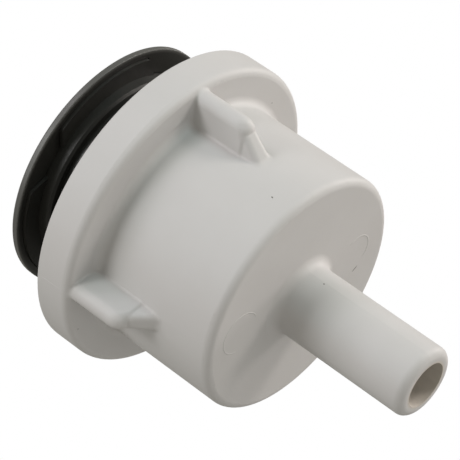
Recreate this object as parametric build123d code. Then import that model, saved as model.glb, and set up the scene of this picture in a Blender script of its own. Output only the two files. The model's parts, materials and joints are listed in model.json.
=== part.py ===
from build123d import *
import os
from math import radians, sin, cos, pi

# Small-bore fill fitting that clamps through a deck.
# Row frame: +Z is up out of the deck, z = 0 is the deck surface that the keyed flange sits on,
# and the common axis of every round part is the Z axis. Millimetres throughout.

# ---- driving dimensions -------------------------------------------------------------------
# Trim plate, the round face that is seen on deck
PLATE_R = 19.5
PLATE_BACK_Z = 0.5
RIM_THICKNESS = 0.93
PLATE_TOP_Z = 3.0
PLATE_SHOULDER_R = 15.8
PLATE_HOLE_R = 14.1

# Deck fitting: keyed flange, locating collar, threaded neck and seal spigot
FLANGE_R = 18.3
FLANGE_TOP_Z = 1.3
COLLAR_R = 15.6
COLLAR_END_Z = -1.8
NOTCH_COUNT = 4
NOTCH_AZIMUTH = 32.5
NOTCH_HALF_OUTER = 15.5
NOTCH_HALF_INNER = 8.5
NECK_THREAD_TOP_Z = -3.6
NECK_THREAD_TURNS = 4.0
SPIGOT_TOP_Z = -17.3
SPIGOT_R = 13.9
NECK_END_Z = -25.5
NECK_BORE_R = 10.4
CAP_BORE_R = 11.65
CAP_BORE_END_Z = -13.0
SEAL_SEAT_R = 13.2
SEAL_SEAT_Z = -0.6

# Large thread between the neck and the tail body
NECK_PITCH = 3.175
NECK_ROOT_R = 14.2
NECK_CREST_R = 15.4
BODY_BORE_R = 15.75
BODY_RIDGE_R = 14.55
NECK_RIDGE_BASE = 1.7
NECK_RIDGE_TIP = 0.7

# Small thread between the neck and the fill cap
CAP_PITCH = 2.5
CAP_ROOT_R = 10.4
CAP_CREST_R = 11.3
CAP_RIDGE_R = 10.75
CAP_RIDGE_BASE = 1.3
CAP_RIDGE_TIP = 0.55

# Fill cap
CAP_HEAD_R = 13.6
CAP_HEAD_UNDER_Z = 1.4
CAP_TOP_Z = 3.4
CAP_STEM_END_Z = -8.0
CAP_THREAD_TOP_Z = -1.7
CAP_THREAD_TURNS = 2.2
CAP_POCKET_R = 8.9
CAP_POCKET_FLOOR_Z = -2.2
CAP_FLOOR_UNDER_Z = -4.0
CAP_BAR_WIDTH = 4.0
CAP_BAR_TOP_Z = 2.9

# Tail body: clamping flange, cup, four wings and hose tail
BODY_FLANGE_R = 24.2
BODY_FRONT_Z = -8.35
BODY_FLANGE_THICKNESS = 5.95
BODY_FLANGE_ROUND = 1.1
BODY_CUP_FILLET = 1.3
CUP_R = 18.75
CUP_END_Z = -35.85
CUP_END_ROUND = 1.2
CUP_FLOOR_Z = -33.2
BODY_THREAD_END_Z = -22.35
BODY_THREAD_TURNS = 2.5
PLAIN_BORE_R = 14.3
TAIL_R = 5.45
TAIL_BORE_R = 3.54
TAIL_END_Z = -58.75
TAIL_TIP_ROUND = 1.3
TAIL_BASE_FILLET = 1.5

# Wings: full-round ribs along the cup, each with a narrower sloping gusset at its end
WING_COUNT = 4
WING_CREST_R = 23.5
WING_CREST_HALF = 1.35
WING_BASE_HALF = 1.75
WING_END_Z = -23.6
WING_END_ROUND = 0.8
GUSSET_TOP_R = 21.9
GUSSET_TOP_HALF = 1.2
GUSSET_BASE_HALF = 1.5
GUSSET_FOOT_Z = -26.6
GUSSET_ROUND = 0.45

# Seals and strainer
SEAL_GROOVE_IN_R = 16.8
SEAL_GROOVE_OUT_R = 21.6
SEAL_GROOVE_DEPTH = 1.6
SLIP_WASHER_THICKNESS = 0.7
GASKET_THICKNESS = 1.8
RING_SECTION_R = 0.9
CAP_RING_CENTRE_R = 12.2
NECK_RING_Z = -23.6
NECK_RING_CENTRE_R = 13.3
STRAINER_R = 11.3
STRAINER_TOP_Z = -11.0
STRAINER_CLEAR_R = 9.3
MESH_R = 10.0
MESH_THICKNESS = 0.4
MESH_HOLE = 1.0
MESH_HOLE_PITCH = 1.6
FIT_GAP = 0.05


# ---- helpers ------------------------------------------------------------------------------
def lathe(points):
    """Solid of revolution about Z from a closed outline of (radius, z) points."""
    outline = Polyline(*[(r, 0, z) for r, z in points], close=True)
    return revolve(make_face(outline), axis=Axis.Z)


def ring(inner_r, outer_r, low_z, high_z):
    """Flat ring between two radii and two heights."""
    return lathe([(inner_r, low_z), (outer_r, low_z), (outer_r, high_z), (inner_r, high_z)])


def o_ring(centre_r, centre_z):
    """O-ring of the common section radius."""
    return Pos(0, 0, centre_z) * Torus(centre_r, RING_SECTION_R)


def circle_edges(solid, radius, z):
    """Circular edges of one radius that lie at one height."""
    found = []
    for edge in solid.edges().filter_by(GeomType.CIRCLE):
        if abs(edge.radius - radius) < 0.01 and abs(edge.arc_center.Z - z) < 0.01:
            found.append(edge)
    return found


def thread_ridge(root_r, tip_r, base_width, tip_width, pitch, start_z, turns):
    """Right-hand helical ridge that rises from root_r to tip_r, sunk a little into its wall."""
    outward = 1 if tip_r > root_r else -1
    height = abs(tip_r - root_r)
    sink = 0.2
    sunk_width = base_width + (base_width - tip_width) * sink / height
    path = Helix(pitch, turns * pitch, root_r)
    section = Polyline(
        (-outward * sink, -sunk_width / 2),
        (outward * height, -tip_width / 2),
        (outward * height, tip_width / 2),
        (-outward * sink, sunk_width / 2),
        close=True,
    )
    plane = Plane(origin=path @ 0, x_dir=(1, 0, 0), z_dir=(0, -1, 0))
    ridge = sweep(plane * make_face(section), path=path, is_frenet=True)
    return Pos(0, 0, start_z) * ridge


# ---- deck side ----------------------------------------------------------------------------
def notch_tools(clearance, low_z, high_z):
    """Prisms of the keyed notches, made narrower all round by clearance."""
    outer_r = FLANGE_R + 1.0
    tools = []
    for index in range(NOTCH_COUNT):
        corners = []
        shrink = clearance / COLLAR_R * 180 / pi
        slope = (NOTCH_HALF_OUTER - NOTCH_HALF_INNER) / (FLANGE_R - COLLAR_R)
        half_at_edge = NOTCH_HALF_OUTER + slope * (outer_r - FLANGE_R) - shrink
        half_inside = NOTCH_HALF_INNER - shrink
        for radius, half in ((COLLAR_R + clearance, half_inside), (outer_r, half_at_edge)):
            corners.append((radius, half))
        points = []
        for radius, half in corners:
            points.append((radius * cos(radians(half)), -radius * sin(radians(half))))
        for radius, half in reversed(corners):
            points.append((radius * cos(radians(half)), radius * sin(radians(half))))
        prism = extrude(Pos(0, 0, low_z) * make_face(Polyline(*points, close=True)), high_z - low_z)
        azimuth = NOTCH_AZIMUTH + index * 360 / NOTCH_COUNT
        tools.append(Rot(0, 0, azimuth) * prism)
    return tools


def make_deck_fitting():
    flange = ring(COLLAR_R - 2, FLANGE_R, 0, FLANGE_TOP_Z)
    for tool in notch_tools(0, -1, FLANGE_TOP_Z + 1):
        flange -= tool
    upright = flange.edges().filter_by(Axis.Z)
    rim_corners = [edge for edge in upright if edge.center().length > FLANGE_R - 0.5]
    flange = fillet(rim_corners, 0.8)
    groove_low = NECK_RING_Z - RING_SECTION_R - 0.2
    groove_high = NECK_RING_Z + RING_SECTION_R + 0.2
    groove_r = NECK_RING_CENTRE_R - RING_SECTION_R - FIT_GAP
    wall = lathe([
        (SEAL_SEAT_R + 0.25, FLANGE_TOP_Z), (COLLAR_R, FLANGE_TOP_Z),
        (COLLAR_R, COLLAR_END_Z + 0.35), (COLLAR_R - 0.35, COLLAR_END_Z),
        (NECK_ROOT_R, COLLAR_END_Z), (NECK_ROOT_R, SPIGOT_TOP_Z + 0.3),
        (SPIGOT_R, SPIGOT_TOP_Z), (SPIGOT_R, groove_high), (groove_r, groove_high),
        (groove_r, groove_low), (SPIGOT_R, groove_low), (SPIGOT_R, NECK_END_Z + 0.6),
        (SPIGOT_R - 0.6, NECK_END_Z), (NECK_BORE_R, NECK_END_Z),
        (NECK_BORE_R, CAP_BORE_END_Z), (CAP_BORE_R, CAP_BORE_END_Z),
        (CAP_BORE_R, SEAL_SEAT_Z), (SEAL_SEAT_R, SEAL_SEAT_Z), (SEAL_SEAT_R, FLANGE_TOP_Z - 0.25),
    ])
    fitting = flange + wall
    thread_length = NECK_THREAD_TURNS * NECK_PITCH
    fitting += thread_ridge(NECK_ROOT_R, NECK_CREST_R, NECK_RIDGE_BASE, NECK_RIDGE_TIP,
                            NECK_PITCH, NECK_THREAD_TOP_Z - thread_length, NECK_THREAD_TURNS)
    cap_start = CAP_THREAD_TOP_Z - CAP_PITCH / 2 - CAP_THREAD_TURNS * CAP_PITCH
    fitting += thread_ridge(CAP_BORE_R, CAP_RIDGE_R, CAP_RIDGE_BASE, CAP_RIDGE_TIP,
                            CAP_PITCH, cap_start, CAP_THREAD_TURNS)
    return fitting


def make_trim_plate():
    rim_top = PLATE_BACK_Z + RIM_THICKNESS
    plate = lathe([
        (PLATE_HOLE_R, PLATE_BACK_Z), (PLATE_R, PLATE_BACK_Z), (PLATE_R, rim_top),
        (PLATE_SHOULDER_R, PLATE_TOP_Z), (PLATE_HOLE_R, PLATE_TOP_Z),
    ])
    plate = fillet(circle_edges(plate, PLATE_SHOULDER_R, PLATE_TOP_Z), 2.0)
    plate = fillet(circle_edges(plate, PLATE_HOLE_R, PLATE_TOP_Z), 0.4)
    plate = fillet(circle_edges(plate, PLATE_R, rim_top), 0.25)
    plate = fillet(circle_edges(plate, PLATE_R, PLATE_BACK_Z), 0.15)
    pocket_top = FLANGE_TOP_Z + FIT_GAP
    pocket = ring(PLATE_HOLE_R - 1, FLANGE_R + 0.1, PLATE_BACK_Z - 1, pocket_top)
    for tool in notch_tools(0.12, PLATE_BACK_Z, pocket_top + 1):
        pocket -= tool
    pocket += ring(PLATE_HOLE_R - 1, COLLAR_R + 0.12, PLATE_BACK_Z - 1, pocket_top)
    return plate - pocket


def make_neck_o_ring():
    return o_ring(NECK_RING_CENTRE_R, NECK_RING_Z)


def make_strainer_frame():
    low_z = CAP_BORE_END_Z
    slot_low = low_z + 0.4
    slot_high = slot_low + MESH_THICKNESS + 2 * FIT_GAP
    frame = lathe([
        (STRAINER_CLEAR_R, low_z), (STRAINER_R, low_z), (STRAINER_R, STRAINER_TOP_Z),
        (STRAINER_CLEAR_R, STRAINER_TOP_Z), (STRAINER_CLEAR_R, slot_high),
        (MESH_R + FIT_GAP, slot_high), (MESH_R + FIT_GAP, slot_low),
        (STRAINER_CLEAR_R, slot_low),
    ])
    return fillet(circle_edges(frame, STRAINER_R, STRAINER_TOP_Z), 0.3)


def make_strainer_mesh():
    low_z = CAP_BORE_END_Z + 0.4 + FIT_GAP
    disc = Pos(0, 0, low_z + MESH_THICKNESS / 2) * Cylinder(MESH_R, MESH_THICKNESS)
    reach = int(STRAINER_CLEAR_R / MESH_HOLE_PITCH) + 1
    holes = []
    for row in range(-reach, reach + 1):
        for column in range(-reach, reach + 1):
            x = column * MESH_HOLE_PITCH
            y = row * MESH_HOLE_PITCH
            if (x * x + y * y) ** 0.5 < STRAINER_CLEAR_R - MESH_HOLE:
                holes.append(Pos(x, y, low_z) * Box(MESH_HOLE, MESH_HOLE, 3))
    return disc - holes


# ---- fill cap -----------------------------------------------------------------------------
def make_fill_cap():
    relief_r = CAP_RING_CENTRE_R - RING_SECTION_R - 0.1
    cap = lathe([
        (0, CAP_STEM_END_Z), (CAP_ROOT_R - 0.4, CAP_STEM_END_Z),
        (CAP_ROOT_R, CAP_STEM_END_Z + 0.4), (CAP_ROOT_R, SEAL_SEAT_Z + 0.1),
        (relief_r, SEAL_SEAT_Z + 0.1), (relief_r, CAP_HEAD_UNDER_Z),
        (CAP_HEAD_R, CAP_HEAD_UNDER_Z), (CAP_HEAD_R, CAP_TOP_Z), (0, CAP_TOP_Z),
    ])
    cap = fillet(circle_edges(cap, CAP_HEAD_R, CAP_TOP_Z), 0.6)
    pocket_depth = CAP_TOP_Z + 1 - CAP_POCKET_FLOOR_Z
    pocket = Pos(0, 0, CAP_POCKET_FLOOR_Z + pocket_depth / 2) * Cylinder(CAP_POCKET_R, pocket_depth)
    bar_depth = CAP_BAR_TOP_Z - CAP_POCKET_FLOOR_Z
    bar = Pos(0, 0, CAP_POCKET_FLOOR_Z + bar_depth / 2) * Box(2 * CAP_POCKET_R + 2, CAP_BAR_WIDTH,
                                                              bar_depth)
    long_top = bar.edges().filter_by(Axis.X).group_by(Axis.Z)[-1]
    pocket -= fillet(long_top, 0.8)
    cap -= pocket
    cap = fillet(circle_edges(cap, CAP_POCKET_R, CAP_TOP_Z), 0.3)
    hollow_depth = CAP_FLOOR_UNDER_Z - CAP_STEM_END_Z
    cap -= Pos(0, 0, CAP_STEM_END_Z + hollow_depth / 2) * Cylinder(CAP_POCKET_R - 0.3, hollow_depth)
    thread_start = CAP_THREAD_TOP_Z - CAP_THREAD_TURNS * CAP_PITCH
    cap += thread_ridge(CAP_ROOT_R, CAP_CREST_R, CAP_RIDGE_BASE, CAP_RIDGE_TIP,
                        CAP_PITCH, thread_start, CAP_THREAD_TURNS)
    return cap


def make_cap_o_ring():
    return o_ring(CAP_RING_CENTRE_R, SEAL_SEAT_Z + RING_SECTION_R + FIT_GAP)


# ---- clamping side ------------------------------------------------------------------------
def make_slip_washer():
    low_z = BODY_FRONT_Z - SEAL_GROOVE_DEPTH + FIT_GAP
    return ring(SEAL_GROOVE_IN_R + 0.2, SEAL_GROOVE_OUT_R - 0.2, low_z,
                low_z + SLIP_WASHER_THICKNESS)


def make_panel_gasket():
    low_z = BODY_FRONT_Z - SEAL_GROOVE_DEPTH + SLIP_WASHER_THICKNESS + 2 * FIT_GAP
    gasket = ring(SEAL_GROOVE_IN_R + 0.2, SEAL_GROOVE_OUT_R - 0.2, low_z, low_z + GASKET_THICKNESS)
    top_z = low_z + GASKET_THICKNESS
    gasket = fillet(circle_edges(gasket, SEAL_GROOVE_OUT_R - 0.2, top_z), 0.5)
    return fillet(circle_edges(gasket, SEAL_GROOVE_IN_R + 0.2, top_z), 0.5)


def make_wing():
    """One wing on the +X side: a full-round rib with a rounded end and a gusset beyond it."""
    inner_r = CUP_R - 1.5
    crest_centre_r = WING_CREST_R - WING_CREST_HALF
    draft = (WING_BASE_HALF - WING_CREST_HALF) / (crest_centre_r - CUP_R)
    inner_half = WING_BASE_HALF + draft * (CUP_R - inner_r)
    top_z = BODY_FRONT_Z - 2.0
    outline = Line((inner_r, inner_half), (inner_r, -inner_half))
    outline += Line((inner_r, -inner_half), (crest_centre_r, -WING_CREST_HALF))
    outline += ThreePointArc((crest_centre_r, -WING_CREST_HALF), (WING_CREST_R, 0),
                             (crest_centre_r, WING_CREST_HALF))
    outline += Line((crest_centre_r, WING_CREST_HALF), (inner_r, inner_half))
    rib = extrude(Pos(0, 0, WING_END_Z) * make_face(outline), top_z - WING_END_Z)
    end_edges = [edge for edge in rib.edges().group_by(Axis.Z)[0] if edge.center().X > CUP_R - 1]
    return fillet(end_edges, WING_END_ROUND) + make_gusset()


def make_gusset():
    """The narrower wedge that runs from the end of a wing down to the cup."""
    inner_r = CUP_R - 1.5
    draft = (GUSSET_BASE_HALF - GUSSET_TOP_HALF) / (GUSSET_TOP_R - CUP_R)
    inner_half = GUSSET_BASE_HALF + draft * (CUP_R - inner_r)
    fall = (WING_END_Z - GUSSET_FOOT_Z) / (GUSSET_TOP_R - CUP_R)
    tip_z = GUSSET_FOOT_Z - fall * (CUP_R - inner_r)
    root_z = WING_END_Z + WING_END_ROUND + 0.4
    wedge = extrude(Plane.XZ * make_face(Polyline(
        (inner_r, root_z), (GUSSET_TOP_R, root_z), (GUSSET_TOP_R, WING_END_Z),
        (inner_r, tip_z), (inner_r, root_z))), 3, both=True)
    bar = extrude(Pos(0, 0, tip_z - 1) * make_face(Polyline(
        (inner_r, -inner_half), (GUSSET_TOP_R, -GUSSET_TOP_HALF), (GUSSET_TOP_R, GUSSET_TOP_HALF),
        (inner_r, inner_half), (inner_r, -inner_half))), root_z - tip_z + 1)
    gusset = bar & wedge
    long_edges = [edge for edge in gusset.edges() if edge.length > 6]
    return fillet(long_edges, GUSSET_ROUND)


def make_tail_body():
    flange_back_z = BODY_FRONT_Z - BODY_FLANGE_THICKNESS
    body = lathe([
        (0, BODY_FRONT_Z), (BODY_FLANGE_R, BODY_FRONT_Z), (BODY_FLANGE_R, flange_back_z),
        (CUP_R, flange_back_z), (CUP_R, CUP_END_Z), (TAIL_R, CUP_END_Z), (TAIL_R, TAIL_END_Z),
        (0, TAIL_END_Z),
    ])
    body = fillet(circle_edges(body, BODY_FLANGE_R, flange_back_z), BODY_FLANGE_ROUND)
    body = fillet(circle_edges(body, CUP_R, CUP_END_Z), CUP_END_ROUND)
    body = fillet(circle_edges(body, TAIL_R, TAIL_END_Z), TAIL_TIP_ROUND)
    body = fillet(circle_edges(body, TAIL_R, CUP_END_Z), TAIL_BASE_FILLET)
    body = fillet(circle_edges(body, CUP_R, flange_back_z), BODY_CUP_FILLET)
    body = chamfer(circle_edges(body, BODY_FLANGE_R, BODY_FRONT_Z), 0.25)
    for index in range(WING_COUNT):
        body += Rot(0, 0, index * 360 / WING_COUNT) * make_wing()
    body -= lathe([
        (0, BODY_FRONT_Z + 1), (BODY_BORE_R + 0.5, BODY_FRONT_Z + 1),
        (BODY_BORE_R + 0.5, BODY_FRONT_Z), (BODY_BORE_R, BODY_FRONT_Z - 0.5),
        (BODY_BORE_R, BODY_THREAD_END_Z), (PLAIN_BORE_R, BODY_THREAD_END_Z - 0.8),
        (PLAIN_BORE_R, CUP_FLOOR_Z + 1.5), (PLAIN_BORE_R - 1.5, CUP_FLOOR_Z),
        (TAIL_BORE_R + 0.8, CUP_FLOOR_Z), (TAIL_BORE_R, CUP_FLOOR_Z - 0.8),
        (TAIL_BORE_R, TAIL_END_Z - 1), (0, TAIL_END_Z - 1),
    ])
    body -= ring(SEAL_GROOVE_IN_R, SEAL_GROOVE_OUT_R, BODY_FRONT_Z - SEAL_GROOVE_DEPTH,
                 BODY_FRONT_Z + 1)
    neck_start = NECK_THREAD_TOP_Z - NECK_THREAD_TURNS * NECK_PITCH
    turns_below = 1.0
    start_z = neck_start + NECK_PITCH / 2 - turns_below * NECK_PITCH
    body += thread_ridge(BODY_BORE_R, BODY_RIDGE_R, NECK_RIDGE_BASE, NECK_RIDGE_TIP,
                         NECK_PITCH, start_z, BODY_THREAD_TURNS)
    return body


# ---- write one file per piece -------------------------------------------------------------
PIECES = {
    "deck_fitting": make_deck_fitting,
    "trim_plate": make_trim_plate,
    "neck_o_ring": make_neck_o_ring,
    "strainer_frame": make_strainer_frame,
    "strainer_mesh": make_strainer_mesh,
    "fill_cap": make_fill_cap,
    "cap_o_ring": make_cap_o_ring,
    "slip_washer": make_slip_washer,
    "panel_gasket": make_panel_gasket,
    "tail_body": make_tail_body,
}

os.makedirs("parts", exist_ok=True)
for name, make in PIECES.items():
    export_step(make(), f"parts/{name}.step")
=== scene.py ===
import json
import math

import bpy
import numpy as np
from mathutils import Matrix, Vector


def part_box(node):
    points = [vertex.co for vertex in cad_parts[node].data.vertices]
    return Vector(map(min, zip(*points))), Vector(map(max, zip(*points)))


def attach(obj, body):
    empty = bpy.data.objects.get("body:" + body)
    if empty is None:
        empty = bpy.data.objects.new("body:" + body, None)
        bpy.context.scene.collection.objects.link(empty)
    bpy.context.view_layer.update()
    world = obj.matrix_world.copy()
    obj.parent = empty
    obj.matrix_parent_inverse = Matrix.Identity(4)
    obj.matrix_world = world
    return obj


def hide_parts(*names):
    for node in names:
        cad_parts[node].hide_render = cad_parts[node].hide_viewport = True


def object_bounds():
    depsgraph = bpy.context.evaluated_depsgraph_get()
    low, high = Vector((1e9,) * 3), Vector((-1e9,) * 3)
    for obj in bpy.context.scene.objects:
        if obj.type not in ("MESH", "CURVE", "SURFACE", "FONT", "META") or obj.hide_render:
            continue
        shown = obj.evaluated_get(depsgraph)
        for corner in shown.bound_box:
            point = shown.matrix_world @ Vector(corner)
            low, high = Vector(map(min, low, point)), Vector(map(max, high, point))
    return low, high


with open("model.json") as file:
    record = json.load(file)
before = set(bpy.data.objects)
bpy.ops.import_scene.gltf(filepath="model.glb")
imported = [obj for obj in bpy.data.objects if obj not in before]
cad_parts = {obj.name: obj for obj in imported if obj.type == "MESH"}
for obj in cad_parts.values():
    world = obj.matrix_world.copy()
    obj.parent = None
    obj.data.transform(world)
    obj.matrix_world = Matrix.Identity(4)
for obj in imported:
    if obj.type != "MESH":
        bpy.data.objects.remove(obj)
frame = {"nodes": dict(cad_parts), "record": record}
cad_low, cad_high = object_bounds()

MM = 0.001
BODY_LOW, BODY_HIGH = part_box("tail_body")


# ---- camera -------------------------------------------------------------------------------
VIEW_AZIMUTH = 48.0
VIEW_ELEVATION = -27.14
VIEW_ROLL = 55.25
VIEW_DISTANCE = 354.4 * MM
AIM_BELOW_FRONT = 12.6 * MM
AIM_SIDEWAYS = 2.14 * MM
LENS = 195.65
SENSOR = 36.0


def make_camera():
    """Camera below the deck line, rolled so that the hose tail points down to the right."""
    azimuth = math.radians(VIEW_AZIMUTH)
    elevation = math.radians(VIEW_ELEVATION)
    back = Vector((math.sin(azimuth) * math.cos(elevation),
                   -math.cos(azimuth) * math.cos(elevation), math.sin(elevation)))
    sideways = Vector((math.cos(azimuth), math.sin(azimuth), 0))
    aim = Vector((0, 0, BODY_HIGH.z - AIM_BELOW_FRONT)) + sideways * AIM_SIDEWAYS
    camera = bpy.data.objects.new("camera", bpy.data.cameras.new("camera"))
    camera.data.lens = LENS
    camera.data.sensor_width = SENSOR
    camera.data.clip_start = 0.01
    camera.data.clip_end = 20
    level = (-back).to_track_quat("-Z", "Y").to_matrix().to_4x4()
    turn = Matrix.Rotation(-math.radians(VIEW_ROLL), 4, "Z")
    camera.matrix_world = Matrix.Translation(aim + back * VIEW_DISTANCE) @ level @ turn
    bpy.context.scene.collection.objects.link(camera)
    bpy.context.scene.camera = camera
    return (level @ turn).to_3x3()


view_axes = make_camera()
VIEW_RIGHT = view_axes @ Vector((1, 0, 0))
VIEW_UP = view_axes @ Vector((0, 1, 0))
VIEW_BACK = view_axes @ Vector((0, 0, 1))


# ---- shader helpers -----------------------------------------------------------------------
class Shader:
    """A material under construction, with short names for the nodes it uses most."""

    def __init__(self, name):
        self.material = bpy.data.materials.new(name)
        self.material.use_nodes = True
        self.tree = self.material.node_tree
        self.base = self.tree.nodes["Principled BSDF"]
        self.place = self.tree.nodes.new("ShaderNodeTexCoord").outputs["Object"]

    def node(self, kind, **inputs):
        made = self.tree.nodes.new(kind)
        for key, value in inputs.items():
            socket = made.inputs[key.replace("_", " ")]
            if isinstance(value, bpy.types.NodeSocket):
                self.tree.links.new(value, socket)
            else:
                socket.default_value = value
        return made

    def noise(self, scale, detail=2.0, roughness=0.5, vector=None):
        made = self.node("ShaderNodeTexNoise", Scale=scale, Detail=detail, Roughness=roughness)
        self.tree.links.new(vector or self.place, made.inputs["Vector"])
        return made.outputs["Fac"]

    def spread(self, value, from_low, from_high, to_low, to_high):
        made = self.node("ShaderNodeMapRange")
        self.tree.links.new(value, made.inputs["Value"])
        for key, number in (("From Min", from_low), ("From Max", from_high),
                            ("To Min", to_low), ("To Max", to_high)):
            made.inputs[key].default_value = number
        return made.outputs["Result"]

    def math(self, operation, first, second):
        made = self.tree.nodes.new("ShaderNodeMath")
        made.operation = operation
        for socket, value in zip(made.inputs, (first, second)):
            if isinstance(value, bpy.types.NodeSocket):
                self.tree.links.new(value, socket)
            else:
                socket.default_value = value
        return made.outputs["Value"]

    def blend(self, factor, first, second):
        made = self.tree.nodes.new("ShaderNodeMix")
        made.data_type = "RGBA"
        self.tree.links.new(factor, made.inputs["Factor"])
        for socket, value in ((made.inputs[6], first), (made.inputs[7], second)):
            if isinstance(value, bpy.types.NodeSocket):
                self.tree.links.new(value, socket)
            else:
                socket.default_value = (*value, 1)
        return made.outputs[2]

    def bump(self, height, depth, strength=1.0):
        made = self.node("ShaderNodeBump", Strength=strength, Distance=depth)
        self.tree.links.new(height, made.inputs["Height"])
        self.tree.links.new(made.outputs["Normal"], self.base.inputs["Normal"])

    def set(self, **inputs):
        for key, value in inputs.items():
            socket = self.base.inputs[key.replace("_", " ")]
            if isinstance(value, bpy.types.NodeSocket):
                self.tree.links.new(value, socket)
            else:
                socket.default_value = value


def moulded_plastic(name, color, shade, roughness, grain, depth, specular=0.5):
    """Moulded plastic: faint cloudy colour, fine grain and slow ripples from the mould."""
    shader = Shader(name)
    cloud = shader.noise(90.0, 4.0, 0.6)
    tint = shader.blend(shader.spread(cloud, 0.3, 0.7, 0.0, 1.0), color, shade)
    fine = shader.noise(grain, 3.0, 0.6)
    slow = shader.noise(140.0, 2.0, 0.5)
    height = shader.math("ADD", shader.math("MULTIPLY", fine, 0.25), slow)
    shader.set(Base_Color=tint, Specular_IOR_Level=specular,
               Roughness=shader.spread(fine, 0.3, 0.7, roughness - 0.05, roughness + 0.07))
    shader.bump(height, depth)
    return shader


WHITE = (0.602, 0.594, 0.586)
WHITE_SHADE = (0.586, 0.576, 0.566)
white = moulded_plastic("white_plastic", WHITE, WHITE_SHADE, 0.52, 2600.0, 0.00002, 0.35)
charcoal = moulded_plastic("charcoal_plastic", (0.034, 0.034, 0.030), (0.028, 0.028, 0.025),
                           0.38, 3200.0, 0.00004, 0.45)


def tint_by_radius(shader, low, high, near, far):
    """Blend to another colour across a band of distances from the fitting's axis."""
    parts = shader.node("ShaderNodeSeparateXYZ", Vector=shader.place).outputs
    square = shader.math("ADD", shader.math("MULTIPLY", parts["X"], parts["X"]),
                         shader.math("MULTIPLY", parts["Y"], parts["Y"]))
    band = shader.spread(shader.math("POWER", square, 0.5), low, high, 0.0, 1.0)
    tint = shader.base.inputs["Base Color"].links[0].from_socket
    shader.set(Base_Color=shader.blend(band, near or tint, far or tint))


# The rim of the trim plate is painted a lighter grey than its back: a painted highlight where
# light grazes the rim.
tint_by_radius(charcoal, 0.0189, 0.0193, None, (0.10, 0.10, 0.093))
# The inside of the tail's bore is painted a darker, warmer white: painted shade and warm bounce
# light in the hole.
tint_by_radius(white, 0.0036, 0.0040, (0.598, 0.560, 0.505), None)
rubber = moulded_plastic("black_rubber", (0.013, 0.013, 0.013), (0.017, 0.017, 0.016),
                         0.62, 2400.0, 0.00004, 0.35)
washer = moulded_plastic("washer_plastic", (0.62, 0.61, 0.57), (0.59, 0.58, 0.54), 0.32, 2400.0,
                         0.00001)
strainer = moulded_plastic("strainer_plastic", (0.018, 0.018, 0.018), (0.024, 0.024, 0.023),
                           0.45, 2600.0, 0.00003)


def woven_steel(name):
    """Bright wire with a slightly uneven polish."""
    shader = Shader(name)
    shader.set(Base_Color=(0.50, 0.50, 0.48, 1), Metallic=1.0,
               Roughness=shader.spread(shader.noise(900.0), 0.3, 0.7, 0.24, 0.36))
    return shader


steel = woven_steel("strainer_wire")
FINISH = {"charcoal_plastic": charcoal, "white_plastic": white, "black_rubber": rubber,
          "washer_plastic": washer, "strainer_plastic": strainer, "strainer_wire": steel}
for subpart in frame["record"]["subparts"]:
    data = frame["nodes"][subpart["node"]].data
    data.materials.clear()
    data.materials.append(FINISH[subpart["material_slot"]].material)


# ---- mesh helpers -------------------------------------------------------------------------
def add_object(name, mesh, shader, body):
    """Put a piece in the scene with its material, carried by a body of the CAD."""
    made = bpy.data.objects.new(name, mesh)
    bpy.context.scene.collection.objects.link(made)
    mesh.materials.clear()
    mesh.materials.append(shader.material)
    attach(made, body)
    return made


def smooth_mesh(name, points, faces):
    mesh = bpy.data.meshes.new(name)
    mesh.from_pydata([tuple(p) for p in points], [], [tuple(f) for f in faces])
    mesh.update()
    mesh.shade_smooth()
    return mesh


def soft_max(a, b, k):
    """The larger of two distances, with the edge where they meet rounded over a width k."""
    h = np.maximum(k - np.abs(a - b), 0) / k
    return np.maximum(a, b) + h * h * k / 4


def soft_min(a, b, k):
    """The smaller of two distances, with the corner where they meet filled over a width k."""
    return -soft_max(-a, -b, k)


# ---- the wings, with the soft nose and edges of a moulding --------------------------------
# All lengths in this section are in millimetres, in a wing's own frame: x outward along the
# wing, y across it, z along the fitting's axis.
FLANGE_R = (BODY_HIGH.x - BODY_LOW.x) / 2 / MM
FLANGE_BACK = BODY_HIGH.z / MM - 5.95
FLANGE_ROUND = 1.1
CUP_R = 18.75
CUP_FILLET = 1.3
CREST_R = 23.6
CREST_HALF = 1.52
BASE_HALF = 1.72
WING_OFFSET = 0.15
WING_END = FLANGE_BACK - 9.3
GUSSET_TOP_R = 21.9
GUSSET_TOP_HALF = 1.25
GUSSET_BASE_HALF = 1.5
FOOT_END = FLANGE_BACK - 12.3
WING_ROOT_BLEND = 0.4
NET_STEP = 0.13
NET_HALF_WIDTH = 3.3


def base_distance(x, y, z):
    """Distance outside the plain round body: flange, cup and the fillet between them."""
    r = np.hypot(x, y)
    across = r - (FLANGE_R - FLANGE_ROUND)
    along = FLANGE_BACK + FLANGE_ROUND - z
    corner = np.hypot(np.maximum(across, 0), np.maximum(along, 0))
    flange = corner + np.minimum(np.maximum(across, along), 0) - FLANGE_ROUND
    out = r - CUP_R
    fillet = CUP_FILLET - np.hypot(CUP_FILLET - out, CUP_FILLET - flange)
    inside = (out < CUP_FILLET) & (flange < CUP_FILLET)
    return np.where(inside, fillet, np.minimum(out, flange))


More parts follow.
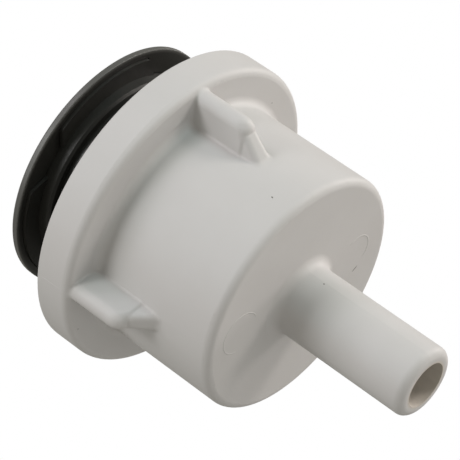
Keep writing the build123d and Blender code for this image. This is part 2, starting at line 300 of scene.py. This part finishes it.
def wing_distance(x, y, z):
    """Distance outside a full-round rib whose nose is rounded off over a narrower wedge."""
    y = y + WING_OFFSET
    centre = CREST_R - CREST_HALF
    draft = (BASE_HALF - CREST_HALF) / (centre - CUP_R)
    sides = (np.abs(y) - CREST_HALF + draft * (x - centre)) / math.hypot(1, draft)
    rib = np.where(x > centre, np.hypot(x - centre, y) - CREST_HALF, sides)
    nose_width = 0.7 + 1.5 * np.clip((x - 21.0) / 2.0, 0, 1)
    rib = soft_max(rib, WING_END - z, nose_width)
    taper = (GUSSET_BASE_HALF - GUSSET_TOP_HALF) / (GUSSET_TOP_R - CUP_R)
    flanks = (np.abs(y) - GUSSET_BASE_HALF + taper * (x - CUP_R)) / math.hypot(1, taper)
    run, fall = GUSSET_TOP_R - CUP_R, WING_END - FOOT_END
    slope = ((x - CUP_R) * fall - (z - FOOT_END) * run) / math.hypot(run, fall)
    wedge = soft_max(soft_max(flanks, slope, 1.0), x - GUSSET_TOP_R, 0.4)
    return soft_min(rib, wedge, 0.15)


def body_distance(x, y, z):
    return soft_min(wing_distance(x, y, z), base_distance(x, y, z), WING_ROOT_BLEND)


def net_surface(field, low, high, step):
    """Quads along the zero surface of a field sampled on a regular grid."""
    axes = [np.arange(a, b + step, step) for a, b in zip(low, high)]
    value = field(*np.meshgrid(*axes, indexing="ij"))
    solid = value < 0
    cells = tuple(n - 1 for n in value.shape)
    total = np.zeros(cells)
    place = np.zeros(cells + (3,))
    corners = [(i, j, k) for i in (0, 1) for j in (0, 1) for k in (0, 1)]
    pairs = [(a, b) for a in corners for b in corners
             if a < b and sum(map(abs, np.subtract(a, b))) == 1]

    def at(array, corner):
        return array[tuple(slice(o, o + n) for o, n in zip(corner, cells))]

    for a, b in pairs:
        va, vb = at(value, a), at(value, b)
        crossed = (va < 0) != (vb < 0)
        t = np.where(crossed, va / np.where(crossed, va - vb, 1), 0)
        for axis in range(3):
            place[..., axis] += np.where(crossed, a[axis] + t * (b[axis] - a[axis]), 0)
        total += crossed
    used = total > 0
    index = np.full(cells, -1)
    index[used] = np.arange(used.sum())
    where = np.argwhere(used)
    points = np.array(low) + (where + place[used] / total[used][:, None]) * step
    faces = []
    for axis in range(3):
        one, two = [other for other in range(3) if other != axis]
        inner = [slice(None)] * 3
        inner[one] = slice(1, -1)
        inner[two] = slice(1, -1)
        inner[axis] = slice(0, -1)
        outer = list(inner)
        outer[axis] = slice(1, None)
        here, there = solid[tuple(inner)], solid[tuple(outer)]
        spots = np.argwhere(here != there)
        enters = there[tuple(spots.T)]
        spots[:, one] += 1
        spots[:, two] += 1
        quad = []
        for shift_one, shift_two in ((1, 1), (0, 1), (0, 0), (1, 0)):
            cell = spots.copy()
            cell[:, one] -= shift_one
            cell[:, two] -= shift_two
            quad.append(index[tuple(cell.T)])
        quad = np.stack(quad, axis=1)
        flip = enters if axis != 1 else ~enters
        quad[flip] = quad[flip][:, ::-1]
        faces.append(quad)
    return points, np.concatenate(faces)


def settle(field, points, rounds=4):
    """Move each point along the field's gradient until it lies on the zero surface."""
    e = 1e-3
    for _ in range(rounds):
        x, y, z = points.T
        value = field(x, y, z)
        slope = np.stack([field(x + e, y, z) - field(x - e, y, z),
                          field(x, y + e, z) - field(x, y - e, z),
                          field(x, y, z + e) - field(x, y, z - e)], axis=1) / (2 * e)
        points = points - (value / np.maximum((slope ** 2).sum(1), 0.05))[:, None] * slope
    return points


def make_wing_mesh():
    low = (CUP_R - 0.6, -NET_HALF_WIDTH, FOOT_END - 1.6)
    high = (FLANGE_R + 0.1, NET_HALF_WIDTH, FLANGE_BACK + FLANGE_ROUND + 0.3)
    points, faces = net_surface(body_distance, low, high, NET_STEP)
    points = settle(body_distance, points)
    proud = base_distance(*points.T) > 0.002
    faces = faces[proud[faces].any(axis=1)]
    used, faces = np.unique(faces, return_inverse=True)
    return points[used] * MM, faces.reshape(-1, 4)


def body_without_wings(source):
    """The tail body's own surface with the sharp-edged wings taken off it."""
    count = len(source.polygons)
    centres = np.empty(count * 3)
    source.polygons.foreach_get("center", centres)
    centres = centres.reshape(-1, 3) / MM
    angle = np.arctan2(centres[:, 1], centres[:, 0])
    local = angle - np.round(angle / (math.pi / 2)) * (math.pi / 2)
    r = np.hypot(centres[:, 0], centres[:, 1])
    x, y, z = r * np.cos(local), r * np.sin(local), centres[:, 2]
    wing = (np.abs(y) < 3) & (x > CUP_R) & (z < FLANGE_BACK + 0.5)
    wing &= base_distance(x, y, z) > 0.05
    points = [tuple(v.co) for v in source.vertices]
    kept = [p for p in source.polygons if not wing[p.index]]
    mesh = bpy.data.meshes.new("tail_body_shell")
    mesh.from_pydata(points, [], [tuple(p.vertices) for p in kept])
    normals = [tuple(source.corner_normals[i].vector) for p in kept for i in p.loop_indices]
    mesh.update()
    mesh.shade_smooth()
    mesh.normals_split_custom_set(normals)
    return mesh


shell = add_object("tail_body_shell", body_without_wings(frame["nodes"]["tail_body"].data),
                   white, "tail")
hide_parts("tail_body")
wing_points, wing_faces = make_wing_mesh()
for quarter in range(4):
    turned = Matrix.Rotation(quarter * math.pi / 2, 3, "Z")
    spun = wing_points @ np.array(turned).T
    add_object(f"wing_{quarter + 1}", smooth_mesh(f"wing_{quarter + 1}", spun, wing_faces),
               white, "tail")


# ---- moulding marks -----------------------------------------------------------------------
CUP_END = BODY_LOW.z / MM + 22.9
PIN_MARK_HALF = 0.16
PIN_MARK_HEIGHT = 0.05
PARTING_HALF = 0.12
PARTING_HEIGHT = 0.02


def bead_mesh(name, path, normals, half, height):
    """A low rounded ridge laid along a path on a surface, all in millimetres."""
    across = np.array((-1.0, -0.5, 0.0, 0.5, 1.0)) * half
    rise = np.array((-0.03, 0.7 * height, height, 0.7 * height, -0.03))
    along = np.gradient(path, axis=0)
    side = np.cross(normals, along)
    side /= np.linalg.norm(side, axis=1)[:, None]
    fade = np.minimum(1, np.minimum(np.arange(len(path)), np.arange(len(path))[::-1]) / 4)
    points = (path[:, None] + side[:, None] * across[None, :, None]
              + normals[:, None] * (rise[None, :] * fade[:, None])[..., None])
    faces = [(5 * i + j, 5 * i + j + 1, 5 * i + j + 6, 5 * i + j + 5)
             for i in range(len(path) - 1) for j in range(4)]
    return smooth_mesh(name, points.reshape(-1, 3) * MM, faces)


def pin_mark(name, x, y, radius, start, end):
    """Part of the witness ring left on the cup's end face by an ejector pin."""
    turn = np.radians(np.linspace(start, end, 60))
    path = np.stack([x + radius * np.cos(turn), y + radius * np.sin(turn),
                     np.full(60, CUP_END)], axis=1)
    down = np.tile((0.0, 0, -1), (60, 1))
    add_object(name, bead_mesh(name, path, down, PIN_MARK_HALF, PIN_MARK_HEIGHT),
               white, "tail")


def parting_line(name, azimuth):
    """The mould's parting line down the side of the flange."""
    out = np.array((math.cos(azimuth), math.sin(azimuth), 0))
    z = np.linspace(BODY_HIGH.z / MM - 0.4, FLANGE_BACK + FLANGE_ROUND - 0.1, 20)
    path = out[None, :] * FLANGE_R + np.stack([0 * z, 0 * z, z], axis=1)
    outward = np.tile(out, (20, 1))
    add_object(name, bead_mesh(name, path, outward, PARTING_HALF, PARTING_HEIGHT),
               white, "tail")


def speck(name, place, normal, along, length, width):
    """A small dark fleck or scratch lying on the white plastic."""
    normal, along = Vector(normal).normalized(), Vector(along).normalized()
    side = normal.cross(along)
    points = [Vector(place) + normal * 0.02]
    for i in range(10):
        turn = 2 * math.pi * i / 10
        points.append(Vector(place) + along * (length / 2 * math.cos(turn))
                      + side * (width / 2 * math.sin(turn)) - normal * 0.01)
    faces = [(0, 1 + i, 1 + (i + 1) % 10) for i in range(10)]
    add_object(name, smooth_mesh(name, [p * MM for p in points], faces), grime, "tail")


grime = moulded_plastic("grime", (0.06, 0.055, 0.045), (0.03, 0.03, 0.025), 0.8, 3000.0, 0.00001,
                        0.2)
pin_mark("pin_mark_1", 0.95, -12.45, 3.3, -175, 70)
pin_mark("pin_mark_2", 1.5, 11.8, 2.7, -40, 140)
parting_line("parting_line_1", -math.pi / 2)
parting_line("parting_line_2", math.pi / 2)
speck("scratch", (-2.1, 12.3, CUP_END), (0, 0, -1), (0.53, 0.85, 0), 1.8, 0.24)
speck("fleck_1", (-8.33, -21.29, FLANGE_BACK), (0, 0, -1), (1, 0, 0), 0.30, 0.26)
speck("fleck_2", (12.94, 15.97, FLANGE_BACK), (0, 0, -1), (1, 0, 0), 0.30, 0.26)
speck("fleck_3", (18.24, -4.35, CUP_END + 4.1), (0.97, -0.23, 0), (0, 0.3, 1), 0.45, 0.2)
speck("fleck_4", (5.44, -0.32, CUP_END - 3.89), (1, -0.06, 0), (0, 0, 1), 0.24, 0.24)


# ---- lights, world and floor --------------------------------------------------------------
CENTRE = (cad_low + cad_high) / 2
FLOOR_HALF = 12.0
FLOOR_Z = -0.70


def soft_light(name, right, up, back, size, power, color=(1, 1, 1), distance=0.6):
    """Round soft light aimed at the object from a direction given in the view's axes."""
    toward = (VIEW_RIGHT * right + VIEW_UP * up + VIEW_BACK * back).normalized()
    light = bpy.data.lights.new(name, "AREA")
    light.shape = "DISK"
    light.size = size
    light.energy = power
    light.color = color
    holder = bpy.data.objects.new(name, light)
    holder.location = CENTRE + toward * distance
    holder.rotation_mode = "QUATERNION"
    holder.rotation_quaternion = toward.to_track_quat("Z", "Y")
    holder.visible_camera = False
    bpy.context.scene.collection.objects.link(holder)


def make_world(seen, given):
    """White backdrop behind the object, with a dimmer, slightly warm fill falling on it."""
    world = bpy.data.worlds.new("studio")
    bpy.context.scene.world = world
    world.use_nodes = True
    nodes = world.node_tree.nodes
    links = world.node_tree.links
    nodes.clear()
    backdrop = nodes.new("ShaderNodeBackground")
    backdrop.inputs["Strength"].default_value = seen
    backdrop.inputs["Color"].default_value = (1, 1, 1, 1)
    fill = nodes.new("ShaderNodeBackground")
    fill.inputs["Strength"].default_value = given
    fill.inputs["Color"].default_value = (1.0, 0.96, 0.86, 1)
    ray = nodes.new("ShaderNodeLightPath")
    mix = nodes.new("ShaderNodeMixShader")
    out = nodes.new("ShaderNodeOutputWorld")
    links.new(ray.outputs["Is Camera Ray"], mix.inputs["Fac"])
    links.new(fill.outputs["Background"], mix.inputs[1])
    links.new(backdrop.outputs["Background"], mix.inputs[2])
    links.new(mix.outputs["Shader"], out.inputs["Surface"])


soft_light("left_front", -0.76, 0.31, 0.57, 0.20, 1.10)
soft_light("left_top", -0.54, 0.77, 0.34, 0.20, 0.60, (1.0, 0.92, 1.0))
soft_light("left", -0.98, 0.04, 0.20, 0.20, 0.43)
soft_light("top", 0.26, 0.84, 0.48, 0.20, 0.52, (0.70, 0.96, 1.0))
soft_light("right_top", 0.74, 0.62, 0.25, 0.20, 1.30, (1.0, 0.93, 0.88))
soft_light("right_behind", 0.83, 0.44, -0.34, 0.20, 1.40, (1.0, 0.92, 0.90))
soft_light("below", 0.731, -0.507, 0.456, 1.0, 0.80)
make_world(1.0, 0.300)
bpy.context.scene.view_settings.view_transform = "Standard"


def make_floor():
    """Plain pale floor, low enough to stay under a camera that looks up at the open fitting."""
    corners = [(-FLOOR_HALF, -FLOOR_HALF, FLOOR_Z), (FLOOR_HALF, -FLOOR_HALF, FLOOR_Z),
               (FLOOR_HALF, FLOOR_HALF, FLOOR_Z), (-FLOOR_HALF, FLOOR_HALF, FLOOR_Z)]
    mesh = bpy.data.meshes.new("floor")
    mesh.from_pydata(corners, [], [(0, 1, 2, 3)])
    floor = bpy.data.objects.new("floor", mesh)
    bpy.context.scene.collection.objects.link(floor)
    paint = Shader("floor_paint")
    paint.set(Base_Color=(0.88, 0.88, 0.87, 1), Roughness=0.8)
    mesh.materials.append(paint.material)


make_floor()
